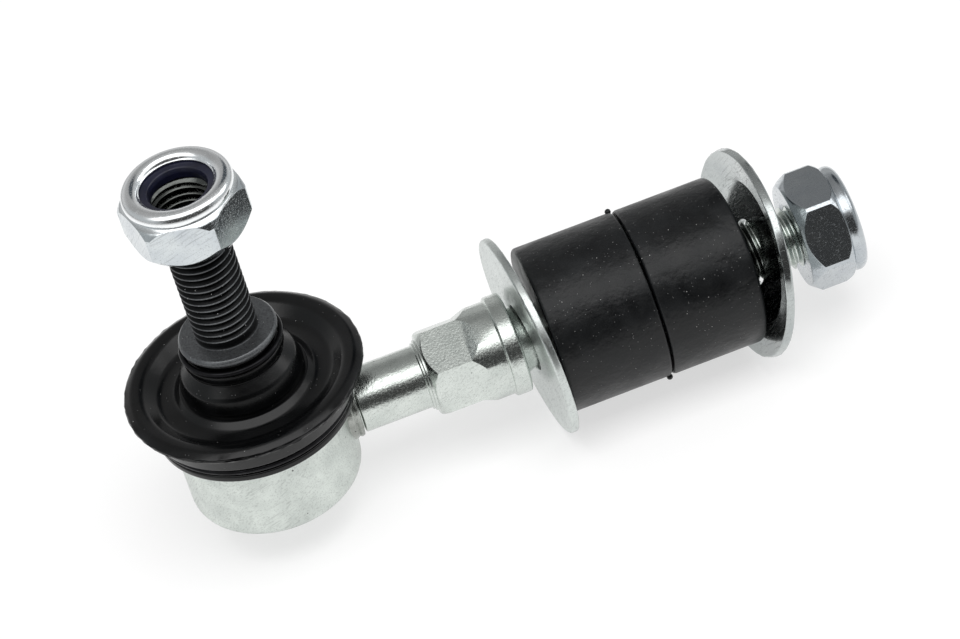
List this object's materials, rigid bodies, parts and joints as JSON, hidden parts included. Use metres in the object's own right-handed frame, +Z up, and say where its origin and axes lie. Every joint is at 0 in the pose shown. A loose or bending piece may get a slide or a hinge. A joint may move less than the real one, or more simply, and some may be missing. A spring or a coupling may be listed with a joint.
{
  "type": "stabilizer link",
  "caption": "Anti-roll bar link: ball joint with an upright stud and boot at one end, rod with rubber bushes, washers and a nut at the other.",
  "frame": {"origin": "centre of the pressed flat in the ball joint housing's underside", "axes": "+Z up along the stud, +X along the rod towards the bushes"},
  "size_m": [0.1148, 0.0372, 0.0679],
  "materials": {
    "housing_zinc": "satin zinc plate",
    "rod_zinc": "zinc plate with fine turning marks",
    "bright_zinc": "bright zinc plate",
    "black_steel": "black phosphate, oiled",
    "boot_rubber": "smooth, glossy",
    "bush_rubber": "matt moulded",
    "nylon": "smooth dark blue",
    "seat_plastic": "plain",
    "spring_wire": "black oiled wire"
  },
  "bodies": {
    "link_body": {"ball_socket_housing": "housing_zinc", "socket_closing_plate": "housing_zinc", "ball_seat": "seat_plastic", "boot_lower_ring": "spring_wire", "weld_bead": "rod_zinc", "link_rod": "rod_zinc"},
    "boot": {"dust_boot": "boot_rubber"},
    "boot_neck": {"boot_upper_ring": "spring_wire"},
    "stud": {"ball_stud": "black_steel"},
    "stud_nut_ring": {"stud_nut_insert": "nylon"},
    "stud_nut": {"stud_nut": "bright_zinc"},
    "inner_washer": {"inner_washer": "bright_zinc"},
    "inner_bush": {"inner_bush": "bush_rubber"},
    "outer_bush": {"outer_bush": "bush_rubber"},
    "outer_washer": {"outer_washer": "bright_zinc"},
    "rod_nut_ring": {"rod_nut_insert": "nylon"},
    "rod_nut": {"rod_nut": "bright_zinc"}
  },
  "joints": [
    {"name": "stud_tilt_x", "type": "hinge", "parent": "link_body", "child": "boot", "pos_m": [0, 0, 0.0104], "axis": [1, 0, 0], "range_deg": [-16, 16], "deforming": ["dust_boot"]},
    {"name": "stud_tilt_y", "type": "hinge", "parent": "boot", "child": "boot_neck", "pos_m": [0, 0, 0.0104], "axis": [0, 1, 0], "range_deg": [-16, 16], "deforming": ["dust_boot"]},
    {"name": "stud_spin", "type": "hinge", "parent": "boot_neck", "child": "stud", "pos_m": [0, 0, 0.0104], "axis": [0, 0, 1], "continuous": true},
    {"name": "stud_nut_travel", "type": "slide", "parent": "stud", "child": "stud_nut_ring", "axis": [0, 0, 1], "range_m": [-0.01875, 0.00125]},
    {"name": "stud_nut_spin", "type": "hinge", "parent": "stud_nut_ring", "child": "stud_nut", "pos_m": [0, 0, 0.051], "axis": [0, 0, 1], "range_deg": [-5400, 360]},
    {"name": "inner_washer_turn", "type": "hinge", "parent": "link_body", "child": "inner_washer", "pos_m": [0, 0, 0.0087], "axis": [1, 0, 0], "continuous": true},
    {"name": "inner_bush_slide", "type": "slide", "parent": "link_body", "child": "inner_bush", "axis": [1, 0, 0], "range_m": [0, 0.0006]},
    {"name": "outer_bush_slide", "type": "slide", "parent": "inner_bush", "child": "outer_bush", "axis": [1, 0, 0], "range_m": [0, 0.001]},
    {"name": "outer_washer_slide", "type": "slide", "parent": "outer_bush", "child": "outer_washer", "axis": [1, 0, 0], "range_m": [0, 0.0008]},
    {"name": "rod_nut_travel", "type": "slide", "parent": "link_body", "child": "rod_nut_ring", "axis": [1, 0, 0], "range_m": [-0.00125, 0.00375]},
    {"name": "rod_nut_spin", "type": "hinge", "parent": "rod_nut_ring", "child": "rod_nut", "pos_m": [0, 0, 0.0087], "axis": [1, 0, 0], "range_deg": [-360, 1080]}
  ],
  "couplings": [
    {"joint": "stud_nut_travel", "follows": "stud_nut_spin", "m_per_rad": 0.00019894},
    {"joint": "rod_nut_travel", "follows": "rod_nut_spin", "m_per_rad": 0.00019894}
  ]
}
